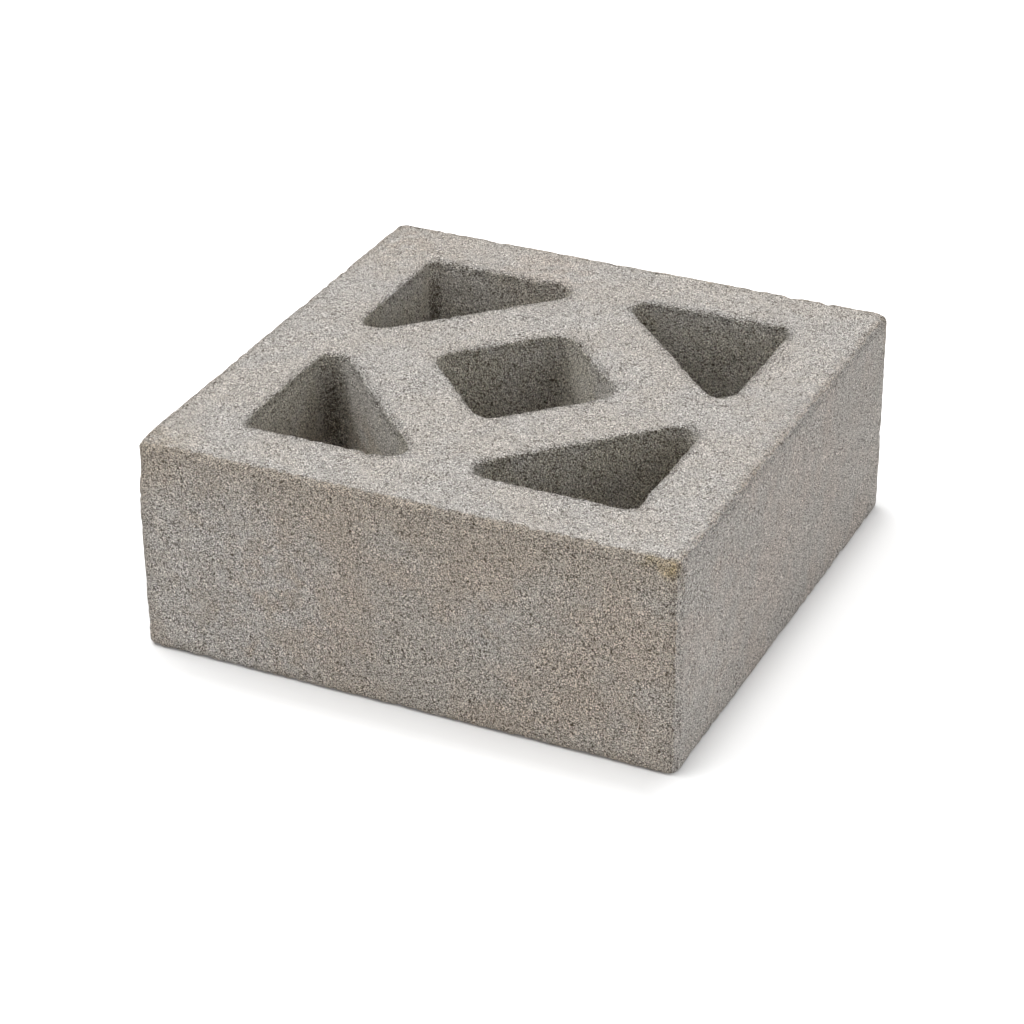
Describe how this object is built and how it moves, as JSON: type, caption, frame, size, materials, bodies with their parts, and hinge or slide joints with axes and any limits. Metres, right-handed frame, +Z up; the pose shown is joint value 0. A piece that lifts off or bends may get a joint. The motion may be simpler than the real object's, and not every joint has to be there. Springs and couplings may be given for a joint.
{
  "type": "concrete screen block",
  "caption": "Square cast concrete screen block lying flat, with a diamond-set square cell in the middle and a triangular cell in each corner.",
  "frame": {"origin": "middle of the lower square face", "axes": "+Z up, along the cells; X and Y along the sides, with -Y and +X the two sides that the picture shows"},
  "size_m": [0.3, 0.3, 0.12],
  "materials": {
    "concrete": "as-cast grey concrete, open fine grain"
  },
  "bodies": {
    "root": {"concrete_block": "concrete"}
  },
  "joints": []
}
